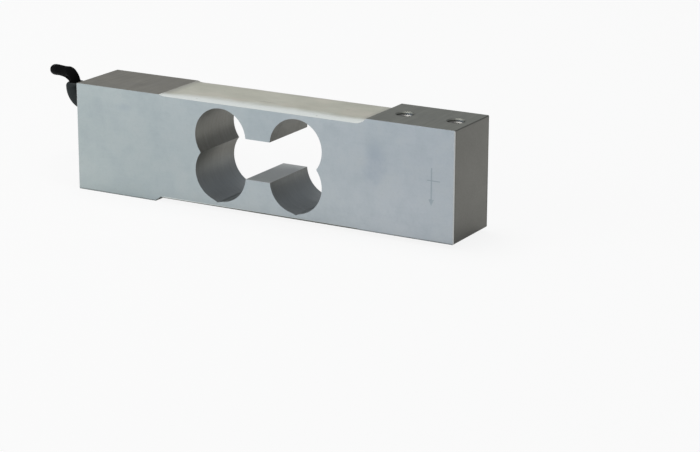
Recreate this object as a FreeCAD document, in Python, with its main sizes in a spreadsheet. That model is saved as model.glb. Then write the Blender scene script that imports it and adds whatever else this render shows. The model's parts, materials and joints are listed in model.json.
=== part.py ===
import FreeCAD, Part
import math
import os

import Sketcher
from FreeCAD import Placement, Rotation, Vector

# Single point load cell: a milled aluminium beam with a four-bore flexure, strain gauges under
# silicone on its top and underside, and a four-core cable that leaves the fixed end in an elbow
# boot.
# The beam lies along X with its fixed end at -X. Z = 0 is the fixed end's mounting pad, and the
# origin is under the middle of the beam. The top and underside are alike under a half turn about
# the Y direction through the middle of the beam.

doc = FreeCAD.newDocument("load_cell")

# ---------------------------------------------------------------- driving sizes, in millimetres
SIZES = [
    ("beam_length", 150), ("beam_width", 25), ("core_height", 37), ("edge_break", 0.3),
    ("pad_step", 1.5), ("pad_length", 33), ("land_length", 35),
    ("recess_depth", 0.5), ("cutter_radius", 5), ("cutter_runout", 1),
    ("bore_radius", 10.2), ("bore_pitch", 30), ("web_thickness", 1.5), ("slot_rise", 7.1),
    ("trim_depth", 0.5), ("trim_half_width", 2), ("trim_offset", 1.4),
    ("screw_diameter", 6), ("screw_depth", 14), ("screw_edge", 6), ("screw_spacing", 19),
    ("sink_diameter", 6.8),
    ("cable_hole_diameter", 5), ("cable_height", 29.2),
    ("wire_hole_diameter", 3.8), ("wire_hole_setback", 2.8),
    ("pocket_start", 36), ("pocket_length", 12.2), ("pocket_width", 16), ("pocket_depth", 3.5),
    ("pocket_corner", 1.5), ("potting_round", 0.4),
    ("gauge_length", 8), ("gauge_width", 5), ("backing_thickness", 0.06),
    ("foil_thickness", 0.03), ("grid_length", 3.2), ("leg_width", 0.16), ("leg_pitch", 0.3),
    ("tab_length", 1.2), ("tab_width", 1.0),
    ("board_length", 6.6), ("board_width", 14), ("board_thickness", 0.8), ("board_gap", 0.4),
    ("pad_print", 0.05), ("print_size", 1.2), ("print_pitch", 1.6),
    ("strip_length", 3.5), ("strip_width", 7), ("strip_thickness", 0.15), ("strip_gap", 3.3),
    ("span_length", 1.6), ("span_width", 3.2), ("span_height", 0.6), ("span_place", 5.2),
    ("zero_length", 1.25), ("zero_width", 2), ("zero_height", 0.5), ("zero_place", 2.6),
    ("nickel_length", 4), ("nickel_width", 3),
    ("jumper_diameter", 0.25), ("cross_wire_diameter", 0.4), ("core_diameter", 0.7),
    ("tab_overlap", 0.6), ("jumper_fan", 1.5), ("near_run", 1.1), ("far_run", 3.0),
    ("strip_share", 0.8), ("core_place", 0.5), ("core_lead_in", 4), ("core_fan", 6),
    ("wire_lift", 0.02),
    ("boot_radius", 3.8), ("boot_reach", 8.9), ("elbow_radius", 4.8), ("boot_rise", 6.3),
    ("boot_round", 1.4), ("boot_socket", 3.2), ("socket_flare", 0.78),
    ("boot_stub_length", 8), ("fit_gap", 0.1),
    ("cable_diameter", 3.6), ("cable_end_inset", 15), ("ferrule_length", 4),
    ("hank_middle", -66), ("hank_offset", 14.7), ("hank_half_run", 15), ("fold_radius", 10.4),
    ("tie_place", 12), ("tie_thickness", 0.4), ("tie_width", 2.5),
    ("lead_off_ahead", 4), ("lead_off_inside", 2.2), ("stub_run", 14), ("lead_out_angle", 16),
    ("sleeve_length", 7), ("sleeve_diameter", 4.1),
    ("lead_diameter", 0.9), ("lead_pitch", 0.95), ("first_lead_turn", 2.9), ("lead_spread", 1.4),
    ("lead_stagger", 0.9), ("lead_tail", 7),
]
sheet = doc.addObject("Spreadsheet::Sheet", "sizes")
for row, (alias, value) in enumerate(SIZES, start=1):
    sheet.set(f"A{row}", alias)
    sheet.set(f"B{row}", str(value))
    sheet.setAlias(f"B{row}", alias)
doc.recompute()


def size(alias):
    return float(sheet.get(alias))


class Shared:
    """Sizes that several pieces are worked out from."""

    half_length = size("beam_length") / 2
    half_width = size("beam_width") / 2
    height = size("core_height") + 2 * size("pad_step")
    core_top = height - size("pad_step")
    recess_floor = core_top - size("recess_depth")
    pocket_floor = recess_floor - size("pocket_depth")
    bore_x = size("bore_pitch") / 2
    hole_x = -half_length + size("pocket_start") + size("wire_hole_setback")
    strip_left = hole_x + size("wire_hole_diameter") / 2 + size("strip_gap")
    upside_down = Placement(Vector(0, 0, height), Rotation(Vector(0, 1, 0), 180))


# Expressions for the same places, measured from the middle of the beam.
HALF_LENGTH = "sizes.beam_length / 2"
HALF_HEIGHT = "(sizes.core_height / 2 + sizes.pad_step)"
CORE = "sizes.core_height / 2"
FLOOR = "(sizes.core_height / 2 - sizes.recess_depth)"
PAD_EDGE = "(sizes.beam_length / 2 - sizes.pad_length)"
BORE_DROP = ("(sizes.core_height / 2 - sizes.recess_depth - sizes.web_thickness"
             " - sizes.bore_radius)")
WIRE_HOLE_INSET = "(sizes.pocket_start + sizes.wire_hole_setback)"
STRIP_LEFT = ("(-sizes.beam_length / 2 + sizes.pocket_start + sizes.wire_hole_setback"
              " + sizes.wire_hole_diameter / 2 + sizes.strip_gap)")
LAND_EDGE = "(sizes.beam_length / 2 - sizes.land_length)"
RUN_IN = "sqrt(2 * sizes.cutter_radius * sizes.recess_depth - sizes.recess_depth ^ 2)"
STEP = "(sizes.recess_depth + sizes.pad_step)"
RAMP = f"sqrt(2 * sizes.cutter_radius * {STEP} - {STEP} ^ 2)"

parts = {}


def keep(name, piece):
    """Names a finished sub-part, which is written to a file of that name."""
    piece.Label = name
    parts[name] = piece
    return piece


# ---------------------------------------------------------------- sketches with named sizes
def value_of(expression):
    return float(sheet.evalExpression(expression))


def sketch_on(body, role, name, offset=("0", "0", "0")):
    """A sketch on one of the body's own origin planes, moved in the sketch's own directions."""
    sketch = body.newObject("Sketcher::SketchObject", name)
    plane = next(item for item in body.Origin.OriginFeatures if item.Role == role)
    sketch.AttachmentSupport = [(plane, "")]
    sketch.MapMode = "FlatFace"
    for axis, expression in zip("xyz", offset):
        if expression != "0":
            sketch.setExpression(f"AttachmentOffset.Base.{axis}", expression)
    return sketch


def place_point(sketch, geometry, point, x, y):
    """Ties a point to the sketch's origin by two named sizes."""
    for kind, axis, expression in (("DistanceX", -2, x), ("DistanceY", -1, y)):
        value = value_of(expression)
        if abs(value) < 1e-9:
            sketch.addConstraint(Sketcher.Constraint("PointOnObject", geometry, point, axis))
            continue
        index = sketch.addConstraint(Sketcher.Constraint(kind, -1, 1, geometry, point, value))
        sketch.setExpression(f"Constraints[{index}]", expression)


def outline(sketch, corners):
    """A closed outline. A corner is (x, y), or (x, y, radius, side) where an arc leads to the next
    corner, with its centre to the left (1) or right (-1) of the way there."""
    points = [Vector(value_of(c[0]), value_of(c[1]), 0) for c in corners]
    ends = []
    for index, corner in enumerate(corners):
        start, end = points[index], points[(index + 1) % len(points)]
        if len(corner) == 2:
            edge = sketch.addGeometry(Part.LineSegment(start, end))
            ends.append((edge, 1, 2))
            continue
        radius, side = value_of(corner[2]), corner[3]
        chord = end - start
        sideways = Vector(-chord.y, chord.x, 0).normalize() * side
        centre = (start + end) / 2 + sideways * math.sqrt(radius**2 - (chord.Length / 2) ** 2)
        angles = [math.atan2(p.y - centre.y, p.x - centre.x) for p in (start, end)]
        if side < 0:
            angles.reverse()
        if angles[1] < angles[0]:
            angles[1] += 2 * math.pi
        circle = Part.Circle(centre, Vector(0, 0, 1), radius)
        edge = sketch.addGeometry(Part.ArcOfCircle(circle, *angles))
        ends.append((edge, 1, 2) if side > 0 else (edge, 2, 1))
        index = sketch.addConstraint(Sketcher.Constraint("Radius", edge, radius))
        sketch.setExpression(f"Constraints[{index}]", corner[2])
    for index, (edge, first, last) in enumerate(ends):
        after = ends[(index + 1) % len(ends)]
        sketch.addConstraint(Sketcher.Constraint("Coincident", edge, last, after[0], after[1]))
        place_point(sketch, edge, first, corners[index][0], corners[index][1])


def circle(sketch, x, y, radius):
    shape = Part.Circle(Vector(value_of(x), value_of(y), 0), Vector(0, 0, 1), value_of(radius))
    edge = sketch.addGeometry(shape)
    index = sketch.addConstraint(Sketcher.Constraint("Radius", edge, value_of(radius)))
    sketch.setExpression(f"Constraints[{index}]", radius)
    place_point(sketch, edge, 3, x, y)


def feature(body, kind, name, profile, length=None, symmetric=False, through=False, back=False):
    """A Pad or a Pocket on a sketch, with its length tied to the sheet."""
    made = body.newObject(f"PartDesign::{kind}", name)
    made.Profile = profile
    if symmetric:
        made.SideType = "Symmetric"
    if through:
        made.Type = "ThroughAll"
    else:
        made.setExpression("Length", length)
    made.Reversed = back
    profile.Visibility = False
    doc.recompute()
    return made


# ---------------------------------------------------------------- the milled beam
def recess_corners(top, left):
    """The milled relief's outline: land, shallow recess and the cutter's curve up to the pad."""
    return [
        (left, top),
        (left, CORE),
        (f"-{LAND_EDGE}", CORE, "sizes.cutter_radius", 1),
        (f"-{LAND_EDGE} + {RUN_IN}", FLOOR),
        (f"{PAD_EDGE} - {RAMP}", FLOOR, "sizes.cutter_radius", 1),
        (PAD_EDGE, HALF_HEIGHT),
        (PAD_EDGE, top),
    ]


def make_beam():
    body = doc.addObject("PartDesign::Body", "beam_body")
    middle = ("0", HALF_HEIGHT, "0")
    billet = sketch_on(body, "XZ_Plane", "billet_outline", middle)
    outline(billet, [
        (f"-{HALF_LENGTH}", f"-{HALF_HEIGHT}"),
        (HALF_LENGTH, f"-{HALF_HEIGHT}"),
        (HALF_LENGTH, HALF_HEIGHT),
        (f"-{HALF_LENGTH}", HALF_HEIGHT),
    ])
    feature(body, "Pad", "billet", billet, "sizes.beam_width", symmetric=True)

    relief = sketch_on(body, "XZ_Plane", "relief_outline", middle)
    outline(relief, recess_corners(
        f"{HALF_HEIGHT} + sizes.cutter_runout", f"-({HALF_LENGTH} + sizes.cutter_runout)"))
    top_relief = feature(body, "Pocket", "top_relief", relief, through=True, symmetric=True)
    both_reliefs = body.newObject("PartDesign::PolarPattern", "both_reliefs")
    both_reliefs.Originals = [top_relief]
    both_reliefs.Axis = (relief, ["N_Axis"])
    both_reliefs.Angle = 360
    both_reliefs.Occurrences = 2
    body.Tip = both_reliefs
    doc.recompute()

    uppers = sketch_on(body, "XZ_Plane", "upper_bore_circles", middle)
    circle(uppers, "-sizes.bore_pitch / 2", BORE_DROP, "sizes.bore_radius")
    circle(uppers, "sizes.bore_pitch / 2", BORE_DROP, "sizes.bore_radius")
    upper_bores = feature(body, "Pocket", "upper_bores", uppers, through=True, symmetric=True)
    lower_bores = body.newObject("PartDesign::Mirrored", "lower_bores")
    lower_bores.Originals = [upper_bores]
    lower_bores.MirrorPlane = (uppers, ["H_Axis"])
    body.Tip = lower_bores
    doc.recompute()

    slot = sketch_on(body, "XZ_Plane", "slot_outline", middle)
    reach = "(sizes.bore_pitch / 2)"
    outline(slot, [
        (f"-{reach}", "-sizes.slot_rise"),
        (reach, "-sizes.slot_rise"),
        (reach, "sizes.slot_rise"),
        (f"-{reach}", "sizes.slot_rise"),
    ])
    feature(body, "Pocket", "flexure_slot", slot, through=True, symmetric=True)

    # File marks in the bottom of the lower bores, where the cell is trimmed for even corners.
    for end, middle_x, shift in (("fixed", "-sizes.bore_pitch / 2", "-sizes.trim_offset"),
                                 ("live", "sizes.bore_pitch / 2", "0 * sizes.trim_offset")):
        mark = sketch_on(body, "XZ_Plane", f"{end}_trim_outline", middle)
        outline(mark, [
            (f"{middle_x} + ({shift}) - sizes.trim_half_width",
             f"-{BORE_DROP} - sqrt(sizes.bore_radius ^ 2 - (({shift}) - sizes.trim_half_width) ^ 2)"),
            (f"{middle_x} + ({shift})", f"-{BORE_DROP} - sqrt(sizes.bore_radius ^ 2 - ({shift}) ^ 2)"
             " - sizes.trim_depth"),
            (f"{middle_x} + ({shift}) + sizes.trim_half_width",
             f"-{BORE_DROP} - sqrt(sizes.bore_radius ^ 2 - (({shift}) + sizes.trim_half_width) ^ 2)"),
        ])
        feature(body, "Pocket", f"{end}_trim", mark, through=True, symmetric=True)

    pocket = sketch_on(body, "XY_Plane", "board_pocket_outline",
                       ("0", "0", f"{HALF_HEIGHT} + {CORE}"))
    left = f"-{HALF_LENGTH} + sizes.pocket_start"
    right = f"-{HALF_LENGTH} + sizes.pocket_start + sizes.pocket_length"
    corner = "sizes.pocket_corner"
    wide = "sizes.pocket_width / 2"
    outline(pocket, [
        (f"{left} + {corner}", f"-{wide}"),
        (f"{right} - {corner}", f"-{wide}", corner, 1),
        (right, f"-{wide} + {corner}"),
        (right, f"{wide} - {corner}", corner, 1),
        (f"{right} - {corner}", wide),
        (f"{left} + {corner}", wide, corner, 1),
        (left, f"{wide} - {corner}"),
        (left, f"-{wide} + {corner}", corner, 1),
    ])
    feature(body, "Pocket", "board_pocket", pocket, "sizes.pocket_depth + sizes.recess_depth")

    wireway = sketch_on(body, "XY_Plane", "wire_hole_circle", ("0", "0", HALF_HEIGHT))
    circle(wireway, f"-{HALF_LENGTH} + {WIRE_HOLE_INSET}", "0", "sizes.wire_hole_diameter / 2")
    feature(body, "Pocket", "wire_hole", wireway, through=True, symmetric=True)

    cableway = sketch_on(body, "YZ_Plane", "cable_hole_circle", ("0", "0", f"-{HALF_LENGTH}"))
    circle(cableway, "0", "sizes.cable_height", "sizes.cable_hole_diameter / 2")
    feature(body, "Pocket", "cable_hole", cableway, WIRE_HOLE_INSET, back=True)

    tapped = sketch_on(body, "XY_Plane", "tapped_hole_centres", ("0", "0", f"2 * {HALF_HEIGHT}"))
    far = f"{HALF_LENGTH} - sizes.screw_edge"
    circle(tapped, far, "0", "sizes.screw_diameter / 2")
    circle(tapped, f"{far} - sizes.screw_spacing", "0", "sizes.screw_diameter / 2")
    holes = body.newObject("PartDesign::Hole", "load_holes")
    holes.Profile = tapped
    holes.ThreadType = "None"
    holes.DepthType = "Dimension"
    holes.HoleCutType = "Countersink"
    holes.DrillPoint = "Angled"
    holes.setExpression("Diameter", "sizes.screw_diameter")
    holes.setExpression("Depth", "sizes.screw_depth")
    holes.setExpression("HoleCutDiameter", "sizes.sink_diameter")
    holes.HoleCutCountersinkAngle = 90
    doc.recompute()
    all_holes = body.newObject("PartDesign::PolarPattern", "load_and_base_holes")
    all_holes.Originals = [holes]
    all_holes.Axis = (relief, ["N_Axis"])
    all_holes.Angle = 360
    all_holes.Occurrences = 2
    body.Tip = all_holes
    doc.recompute()

    breaks = body.newObject("PartDesign::Chamfer", "edge_breaks")
    breaks.Base = (all_holes, outer_edges(all_holes.Shape))
    breaks.setExpression("Size", "sizes.edge_break")
    body.Tip = breaks
    doc.recompute()
    return keep("spring_body", body)


def outer_edges(shape):
    """The beam's upright corners and the edges of its end faces, which are broken with a file."""
    found = []
    for number, edge in enumerate(shape.Edges, start=1):
        box = edge.BoundBox
        at_end = min(abs(abs(box.XMin) - Shared.half_length), abs(abs(box.XMax) - Shared.half_length))
        straight = edge.Curve.TypeId == "Part::GeomLine"
        if straight and at_end < 1e-6 and box.XLength < 1e-6:
            found.append(f"Edge{number}")
    return found


# ---------------------------------------------------------------- strain gauges
def box(name, length, width, height, x, y, z):
    """A block with its sizes and its lower corner tied to expressions of the sheet."""
    made = doc.addObject("Part::Box", name)
    for prop, expression in (("Length", length), ("Width", width), ("Height", height)):
        made.setExpression(prop, expression)
    for axis, expression in zip("xyz", (x, y, z)):
        made.setExpression(f"Placement.Base.{axis}", expression)
    return made


def grid_shape():
    """A foil grid: legs along the beam joined by end loops, with a solder tab at each end of it."""
    pitch, half_leg = size("leg_pitch"), size("leg_width") / 2
    half_grid = size("grid_length") / 2
    leg_count = 8
    foil = size("foil_thickness")
    rows = [(index - (leg_count - 1) / 2) * pitch for index in range(leg_count)]
    pieces = []
    for index, y in enumerate(rows):
        leg = Part.makeBox(2 * half_grid, 2 * half_leg, foil, Vector(-half_grid, y - half_leg, 0))
        pieces.append(leg)
        if index:
            end = half_grid if index % 2 else -half_grid - 2 * half_leg
            loop = Part.makeBox(2 * half_leg, pitch + 2 * half_leg, foil,
                                Vector(end, y - pitch - half_leg, 0))
            pieces.append(loop)
    tab, wide = size("tab_length"), size("tab_width")
    for side in (-1, 1):
        inner = rows[0] - half_leg if side < 0 else rows[-1] + half_leg - wide
        pieces.append(Part.makeBox(tab, wide, foil, Vector(-half_grid - tab, inner, 0)))
    return pieces[0].multiFuse(pieces[1:]).removeSplitter()


def make_gauges():
    """Four gauges over and under the thin walls, two on each face."""
    on_floor = "sizes.pad_step + sizes.core_height - sizes.recess_depth"
    for end, sign in (("fixed", "-"), ("live", "")):
        backing = box(f"gauge_backing_top_{end}", "sizes.gauge_length", "sizes.gauge_width",
                      "sizes.backing_thickness",
                      f"{sign}sizes.bore_pitch / 2 - sizes.gauge_length / 2",
                      "-sizes.gauge_width / 2", on_floor)
        keep(f"gauge_backing_top_{end}", backing)
        x = -Shared.bore_x if sign else Shared.bore_x
        z = Shared.recess_floor + size("backing_thickness")
        foil = doc.addObject("Part::Feature", f"gauge_foil_top_{end}")
        foil.Shape = grid_shape()
        foil.Placement = Placement(Vector(x, 0, z), Rotation())
        keep(f"gauge_foil_top_{end}", foil)
        under = "live" if sign else "fixed"
        low_backing = box(f"gauge_backing_under_{under}", "sizes.gauge_length",
                          "sizes.gauge_width", "sizes.backing_thickness",
                          f"-({sign}sizes.bore_pitch / 2) - sizes.gauge_length / 2",
                          "-sizes.gauge_width / 2",
                          "sizes.pad_step + sizes.recess_depth - sizes.backing_thickness")
        keep(f"gauge_backing_under_{under}", low_backing)
        low_z = size("pad_step") + size("recess_depth") - size("backing_thickness")
        low_foil = doc.addObject("Part::Feature", f"gauge_foil_under_{under}")
        low_foil.Shape = grid_shape()
        turned = Rotation(Vector(1, 0, 0), 180)
        low_foil.Placement = Placement(Vector(-x, 0, low_z), turned)
        keep(f"gauge_foil_under_{under}", low_foil)


# ---------------------------------------------------------------- round wires along rounded routes
def rounded_path(points, bend=None):
    """Straight runs joined by tangent arcs. Without a bend radius, each arc is as large as its two
    runs allow. Returns the path and the arcs' radii."""
    points = [Vector(*p) for p in points]
    edges, radii, start = [], [], points[0]
    for before, corner, after in zip(points, points[1:], points[2:]):
        back, ahead = before - corner, after - corner
        shorter = min(back.Length, ahead.Length)
        half_turn = (math.pi - back.getAngle(ahead)) / 2
        radius = 0.45 * shorter / math.tan(half_turn)
        if bend:
            radius = min(radius, bend)
        back.normalize()
        ahead.normalize()
        trim = radius * math.tan(half_turn)
        first, last = corner + back * trim, corner + ahead * trim
        inward = (back + ahead).normalize()
        middle = corner + inward * (radius / math.cos(half_turn) - radius)
        edges.append(Part.LineSegment(start, first).toShape())
        edges.append(Part.Arc(first, middle, last).toShape())
        radii.append(radius)
        start = last
    edges.append(Part.LineSegment(start, points[-1]).toShape())
    return Part.Wire(edges), radii


def round_wire(points, diameter, bend=None):
    """A solid of round section along a rounded route."""
    path, _ = rounded_path(points, bend)
    ahead = Vector(*points[1]) - Vector(*points[0])
    section = Part.Wire(Part.Circle(Vector(*points[0]), ahead, diameter / 2).toShape())
    return path.makePipeShell([section], True, True)


def wires_node(name, shapes):
    made = doc.addObject("Part::Feature", name)
    made.Shape = shapes[0] if len(shapes) == 1 else Part.makeCompound(shapes)
    return keep(name, made)


# ---------------------------------------------------------------- board, terminals and inner wires
BOARD_LEFT = ("(-sizes.beam_length / 2 + sizes.pocket_start + sizes.pocket_length"
              " - sizes.board_gap - sizes.board_length)")
POCKET_FLOOR = ("(sizes.pad_step + sizes.core_height - sizes.recess_depth"
                " - sizes.pocket_depth)")


def print_places():
    """The board's solder pads: two rows across the beam."""
    left = value_of(BOARD_LEFT)
    rows = (left + 0.5 * size("print_size") + size("board_gap"),
            left + size("board_length") - 0.5 * size("print_size") - size("board_gap"))
    across = [(index - 3.5) * size("print_pitch") for index in range(8)]
    return rows, across


def make_board():
    board = box("board_plate", "sizes.board_length", "sizes.board_width",
                "sizes.board_thickness", BOARD_LEFT, "-sizes.board_width / 2", POCKET_FLOOR)
    rows, across = print_places()
    top = Shared.pocket_floor + size("board_thickness")
    side = size("print_size")
    prints = doc.addObject("Part::Feature", "board_prints")
    prints.Shape = Part.makeCompound([
        Part.makeBox(side, side, size("pad_print"), Vector(x - side / 2, y - side / 2, top))
        for x in rows for y in across])
    whole = doc.addObject("Part::Fuse", "board_with_prints")
    whole.Base, whole.Tool = board, prints
    keep("bridge_board", whole)
    on_prints = f"{POCKET_FLOOR} + sizes.board_thickness + sizes.pad_print"
    middle = f"{BOARD_LEFT} + sizes.board_length / 2"
    span = box("span_resistor", "sizes.span_length", "sizes.span_width", "sizes.span_height",
               f"{middle} - sizes.span_length / 2", "-sizes.span_place", on_prints)
    keep("span_resistor", span)
    zero = box("zero_resistor", "sizes.zero_length", "sizes.zero_width", "sizes.zero_height",
               f"{middle} - sizes.zero_length / 2", "sizes.zero_place", on_prints)
    keep("zero_resistor", zero)
    strip = box("terminal_strip", "sizes.strip_length", "sizes.strip_width",
                "sizes.strip_thickness", STRIP_LEFT,
                "-sizes.strip_width / 2",
                "sizes.pad_step + sizes.recess_depth - sizes.strip_thickness")
    keep("terminal_strip", strip)
    nickel = box("compensation_resistor", "sizes.nickel_length", "sizes.nickel_width",
                 "sizes.backing_thickness", "-sizes.nickel_length / 2", "-sizes.nickel_width / 2",
                 "sizes.pad_step + sizes.core_height - sizes.recess_depth")
    keep("compensation_resistor", nickel)


def bent_wire(points, diameter):
    """A fine wire of round section in straight runs with mitred corners."""
    points = [Vector(*point) for point in points]
    section = Part.Wire(Part.Circle(points[0], points[1] - points[0], diameter / 2).toShape())
    return Part.makePolygon(points).makePipeShell([section], True, True, 1)


def make_inner_wires():
    thin, lift = size("jumper_diameter"), size("wire_lift")
    rows, across = print_places()
    print_top = Shared.pocket_floor + size("board_thickness") + size("pad_print") + lift
    on_board = print_top + thin / 2
    foil_top = Shared.recess_floor + size("backing_thickness") + size("foil_thickness")
    on_foil = foil_top + thin / 2 + lift
    tab_end = size("grid_length") / 2 + size("tab_length") - size("tab_overlap")
    pocket_edge = -Shared.half_length + size("pocket_start") + size("pocket_length")
    first_tab = 3.5 * size("leg_pitch") + size("leg_width") / 2 - size("tab_width") / 2
    over_edge = pocket_edge - size("board_gap") / 2

    def jumper(gauge_x, run_y, print_y, side):
        start = gauge_x - tab_end
        return bent_wire([
            (start, side * first_tab, on_foil), (start - size("jumper_fan"), side * run_y, on_foil),
            (over_edge, side * print_y, on_foil),
            (over_edge - size("board_gap"), side * print_y, on_board),
            (rows[1] - size("tab_overlap") / 2, side * print_y, on_board)], thin)

    near_run, far_run = size("near_run"), size("far_run")
    wires_node("jumper_wires_top", [
        jumper(gauge_x, run_y, print_y, side) for side in (-1, 1) for gauge_x, run_y, print_y in
        ((-Shared.bore_x, near_run, across[4]), (Shared.bore_x, far_run, across[6]))])

    low = size("pad_step") + size("recess_depth") - size("backing_thickness")
    under_foil = low - size("foil_thickness") - thin / 2 - lift
    strip_right = Shared.strip_left + size("strip_length")
    strip_face = size("pad_step") + size("recess_depth") - size("strip_thickness") - lift
    under_strip = strip_face - thin / 2
    unders = []
    for side in (-1, 1):
        for gauge_x, run_y in ((-Shared.bore_x, near_run), (Shared.bore_x, far_run)):
            start = gauge_x - tab_end
            landing = size("strip_share") * run_y
            unders.append(bent_wire([
                (start, side * first_tab, under_foil),
                (start - size("jumper_fan"), side * run_y, under_foil),
                (strip_right + size("tab_length"), side * landing, under_strip),
                (strip_right - size("tab_overlap"), side * landing, under_strip)], thin))
    wires_node("jumper_wires_under", unders)

    cross = size("cross_wire_diameter")
    cross_low = strip_face - cross / 2
    on_print = print_top + cross / 2
    rise_x = Shared.hole_x + size("core_diameter") * 1.5
    risers = []
    for index in range(4):
        place, landing = index - 1.5, across[index + 2]
        on_strip, in_hole = place * 3 * cross, place * 1.5 * cross
        risers.append(bent_wire([
            (Shared.strip_left + size("tab_length"), on_strip, cross_low),
            (Shared.strip_left - size("tab_overlap"), on_strip, cross_low),
            (rise_x, in_hole, cross_low), (rise_x, in_hole, on_print),
            (rows[0] - size("tab_overlap"), landing, on_print),
            (rows[0] + size("tab_overlap") / 2, landing, on_print)], cross))
    wires_node("cross_wires", risers)

    core = size("core_diameter")
    start = -Shared.half_length + size("cable_end_inset")
    height = size("cable_height")
    rise_x = Shared.hole_x - core
    cores = []
    for index, (y, z) in enumerate([(-1, -1), (-1, 1), (1, -1), (1, 1)]):
        in_cable = (y * size("core_place"), height + z * size("core_place"))
        spread = (-1.7, 1.7, -0.55, 0.55)[index] * core
        landing = (across[0], across[7], across[1], across[6])[index]
        level = height + 0.6 * z * size("core_place")
        over = print_top + 2 * core
        cores.append(bent_wire([
            (start, *in_cable), (start + size("core_lead_in"), *in_cable),
            (rise_x - size("core_fan"), spread, level), (rise_x, spread, level),
            (rise_x, spread, over), (rise_x + 3 * core, landing, over),
            (rows[0] - size("tab_overlap"), landing, print_top + core / 2),
            (rows[0] + size("tab_overlap") / 2, landing, print_top + core / 2)], core))
    wires_node("cable_cores", cores)


def make_potting(name, under, buried, with_pocket):
    """A silicone fill, flush with the core, round what lies in it."""
    body = doc.addObject("PartDesign::Body", f"{name}_body")
    fill = sketch_on(body, "XZ_Plane", f"{name}_outline", ("0", HALF_HEIGHT, "0"))
    at_core = ("sqrt(2 * sizes.cutter_radius * sizes.recess_depth"
               " - sizes.recess_depth ^ 2)")
    outline(fill, [
        (f"-{LAND_EDGE}", CORE, "sizes.cutter_radius", 1),
        (f"-{LAND_EDGE} + {RUN_IN}", FLOOR),
        (f"{PAD_EDGE} - {RAMP}", FLOOR, "sizes.cutter_radius", 1),
        (f"{PAD_EDGE} - {RAMP} + {at_core}", CORE),
    ])
    pad = feature(body, "Pad", f"{name}_fill", fill, "sizes.beam_width", symmetric=True)
    rim = body.newObject("PartDesign::Fillet", f"{name}_rim")
    top = Shared.core_top
    long_edges = [
        f"Edge{number}" for number, edge in enumerate(pad.Shape.Edges, start=1)
        if edge.BoundBox.XLength > size("bore_pitch") and edge.BoundBox.ZMin > top - 1e-6]
    rim.Base = (pad, long_edges)
    rim.setExpression("Radius", "sizes.potting_round")
    body.Tip = rim
    doc.recompute()
    if under:
        body.Placement = Shared.upside_down
    whole = body
    if with_pocket:
        plug = box(f"{name}_plug", "sizes.pocket_length", "sizes.pocket_width",
                   "sizes.pocket_depth", "-sizes.beam_length / 2 + sizes.pocket_start",
                   "-sizes.pocket_width / 2", POCKET_FLOOR)
        corners = doc.addObject("Part::Fillet", f"{name}_plug_corners")
        corners.Base = plug
        doc.recompute()
        upright = [n for n, edge in enumerate(plug.Shape.Edges, start=1)
                   if edge.BoundBox.ZLength > size("pocket_depth") / 2]
        corners.Edges = [(n, size("pocket_corner"), size("pocket_corner")) for n in upright]
        whole = doc.addObject("Part::Fuse", f"{name}_with_plug")
        whole.Base, whole.Tool = body, corners
    doc.recompute()
    shape = whole.Shape
    for piece in buried:
        for solid in parts[piece].Shape.Solids:
            shape = shape.cut(solid)
    cast = doc.addObject("Part::Feature", f"{name}_cast")
    cast.Shape = shape
    return keep(name, cast)


# ---------------------------------------------------------------- boot, cable and loose end
def make_boot():
    """An elbow boot with a stub that is pressed into the beam's end."""
    radius, elbow = size("boot_radius"), size("elbow_radius")
    face = -Shared.half_length
    height, reach = size("cable_height"), size("boot_reach")
    top = height + size("boot_rise")
    bend_x, bend_top = face - reach + elbow, height + elbow
    level = Part.makeCylinder(radius, face - bend_x, Vector(bend_x, 0, height), Vector(1, 0, 0))
    section = Part.Face(Part.Wire(
        Part.Circle(Vector(bend_x, 0, height), Vector(1, 0, 0), radius).toShape()))
    corner = section.revolve(Vector(bend_x, 0, bend_top), Vector(0, 1, 0), 90)
    upright = Part.makeCylinder(radius, top - bend_top, Vector(face - reach, 0, bend_top))
    crown = [edge for edge in upright.Edges if abs(edge.BoundBox.ZMin - top) < 1e-6]
    upright = upright.makeFillet(size("boot_round"), crown)
    outside = level.multiFuse([corner, upright])
    socket_radius = size("cable_diameter") / 2 + size("fit_gap")
    socket = Part.makeCylinder(socket_radius, size("boot_socket") + 1,
                               Vector(face - reach, 0, top - size("boot_socket")))
    flare = Part.makeCone(socket_radius, socket_radius + size("socket_flare"),
                          size("socket_flare") * 2,
                          Vector(face - reach, 0, top - 2 * size("socket_flare")))
    stub = Part.makeCylinder(size("cable_hole_diameter") / 2 - size("fit_gap") / 2,
                             size("boot_stub_length"), Vector(face, 0, height), Vector(1, 0, 0))
    core = Part.makeCylinder(size("cable_diameter") / 2, size("boot_stub_length"),
                             Vector(face, 0, height), Vector(1, 0, 0))
    boot = doc.addObject("Part::Feature", "cable_boot")
    boot.Shape = outside.cut(socket).cut(flare).fuse(stub).cut(core).removeSplitter()
    keep("cable_boot", boot)

    inner = doc.addObject("Part::Cylinder", "cable_inner_end")
    inner.setExpression("Radius", "sizes.cable_diameter / 2")
    inner.setExpression("Height", "sizes.cable_end_inset")
    inner.Placement = Placement(Vector(face, 0, height), Rotation(Vector(0, 1, 0), 90))
    keep("cable_inner_end", inner)

    length = size("ferrule_length")
    start = Vector(face + size("cable_end_inset") - length - 1, 0, height)
    ring = Part.makeCylinder(size("cable_hole_diameter") / 2 - size("fit_gap") / 2, length, start,
                             Vector(1, 0, 0))
    hole = Part.makeCylinder(size("cable_diameter") / 2, length, start, Vector(1, 0, 0))
    ferrule = doc.addObject("Part::Feature", "clamp_ferrule")
    ferrule.Shape = ring.cut(hole)
    keep("clamp_ferrule", ferrule)


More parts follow.
